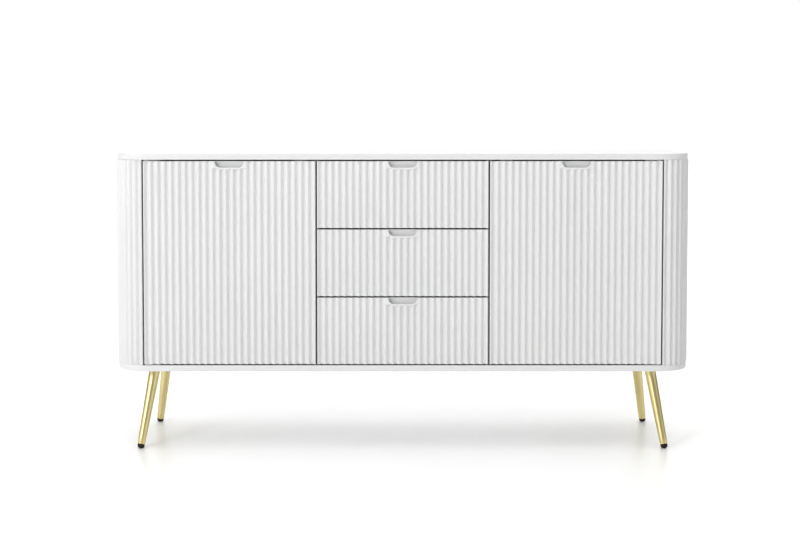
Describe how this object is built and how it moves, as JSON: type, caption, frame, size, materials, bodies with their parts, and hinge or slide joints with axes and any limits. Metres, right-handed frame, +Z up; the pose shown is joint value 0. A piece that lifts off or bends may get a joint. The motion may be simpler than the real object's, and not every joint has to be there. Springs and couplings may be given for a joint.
{
  "type": "sideboard buffet",
  "caption": "Long low cabinet on splayed tapered legs, with rounded fluted ends, a swinging fluted door at each side and a stack of fluted drawers between them.",
  "frame": {"origin": "centre of the footprint, on the floor under the glides", "axes": "+Z up, front towards -Y, +X to the right as seen from the front"},
  "size_m": [1.54, 0.39, 0.791],
  "materials": {
    "white_lacquer": "satin white lacquer on board",
    "white_board": "matt white laminated board",
    "pale_gold": "polished pale gold plating on steel tube",
    "black_plastic": "satin black moulded plastic",
    "white_plastic": "matt white nylon",
    "zinc_steel": "zinc plated steel"
  },
  "bodies": {
    "carcass": {"top_panel": "white_lacquer", "bottom_panel": "white_lacquer", "back_panel": "white_board", "left_corner_panel": "white_lacquer", "left_side_board": "white_board", "left_divider": "white_board", "left_shelf": "white_board", "left_door_catch": "white_plastic", "left_lower_pivot_plate": "zinc_steel", "left_upper_pivot_plate": "zinc_steel", "left_front_leg": "pale_gold", "left_front_glide": "black_plastic", "left_rear_leg": "pale_gold", "left_rear_glide": "black_plastic", "lower_left_fixed_runner": "zinc_steel", "middle_left_fixed_runner": "zinc_steel", "upper_left_fixed_runner": "zinc_steel", "right_corner_panel": "white_lacquer", "right_side_board": "white_board", "right_divider": "white_board", "right_shelf": "white_board", "right_door_catch": "white_plastic", "right_lower_pivot_plate": "zinc_steel", "right_upper_pivot_plate": "zinc_steel", "right_front_leg": "pale_gold", "right_front_glide": "black_plastic", "right_rear_leg": "pale_gold", "right_rear_glide": "black_plastic", "lower_right_fixed_runner": "zinc_steel", "middle_right_fixed_runner": "zinc_steel", "upper_right_fixed_runner": "zinc_steel"},
    "left_door": {"left_door_panel": "white_lacquer", "left_door_lower_bush": "white_plastic", "left_door_upper_bush": "white_plastic", "left_door_strike": "zinc_steel"},
    "right_door": {"right_door_panel": "white_lacquer", "right_door_lower_bush": "white_plastic", "right_door_upper_bush": "white_plastic", "right_door_strike": "zinc_steel"},
    "lower_drawer": {"lower_drawer_front": "white_lacquer", "lower_drawer_left_side": "white_board", "lower_drawer_right_side": "white_board", "lower_drawer_back": "white_board", "lower_drawer_base": "white_board", "lower_left_moving_runner": "zinc_steel", "lower_right_moving_runner": "zinc_steel"},
    "middle_drawer": {"middle_drawer_front": "white_lacquer", "middle_drawer_left_side": "white_board", "middle_drawer_right_side": "white_board", "middle_drawer_back": "white_board", "middle_drawer_base": "white_board", "middle_left_moving_runner": "zinc_steel", "middle_right_moving_runner": "zinc_steel"},
    "upper_drawer": {"upper_drawer_front": "white_lacquer", "upper_drawer_left_side": "white_board", "upper_drawer_right_side": "white_board", "upper_drawer_back": "white_board", "upper_drawer_base": "white_board", "upper_left_moving_runner": "zinc_steel", "upper_right_moving_runner": "zinc_steel"}
  },
  "joints": [
    {"name": "left_door_hinge", "type": "hinge", "parent": "carcass", "child": "left_door", "pos_m": [-0.6777, -0.1865, 0.502], "axis": [0, 0, -1], "range_deg": [0, 100]},
    {"name": "right_door_hinge", "type": "hinge", "parent": "carcass", "child": "right_door", "pos_m": [0.6777, -0.1865, 0.502], "axis": [0, 0, 1], "range_deg": [0, 100]},
    {"name": "lower_drawer_slide", "type": "slide", "parent": "carcass", "child": "lower_drawer", "axis": [0, -1, 0], "range_m": [0, 0.245]},
    {"name": "middle_drawer_slide", "type": "slide", "parent": "carcass", "child": "middle_drawer", "axis": [0, -1, 0], "range_m": [0, 0.245]},
    {"name": "upper_drawer_slide", "type": "slide", "parent": "carcass", "child": "upper_drawer", "axis": [0, -1, 0], "range_m": [0, 0.245]}
  ]
}
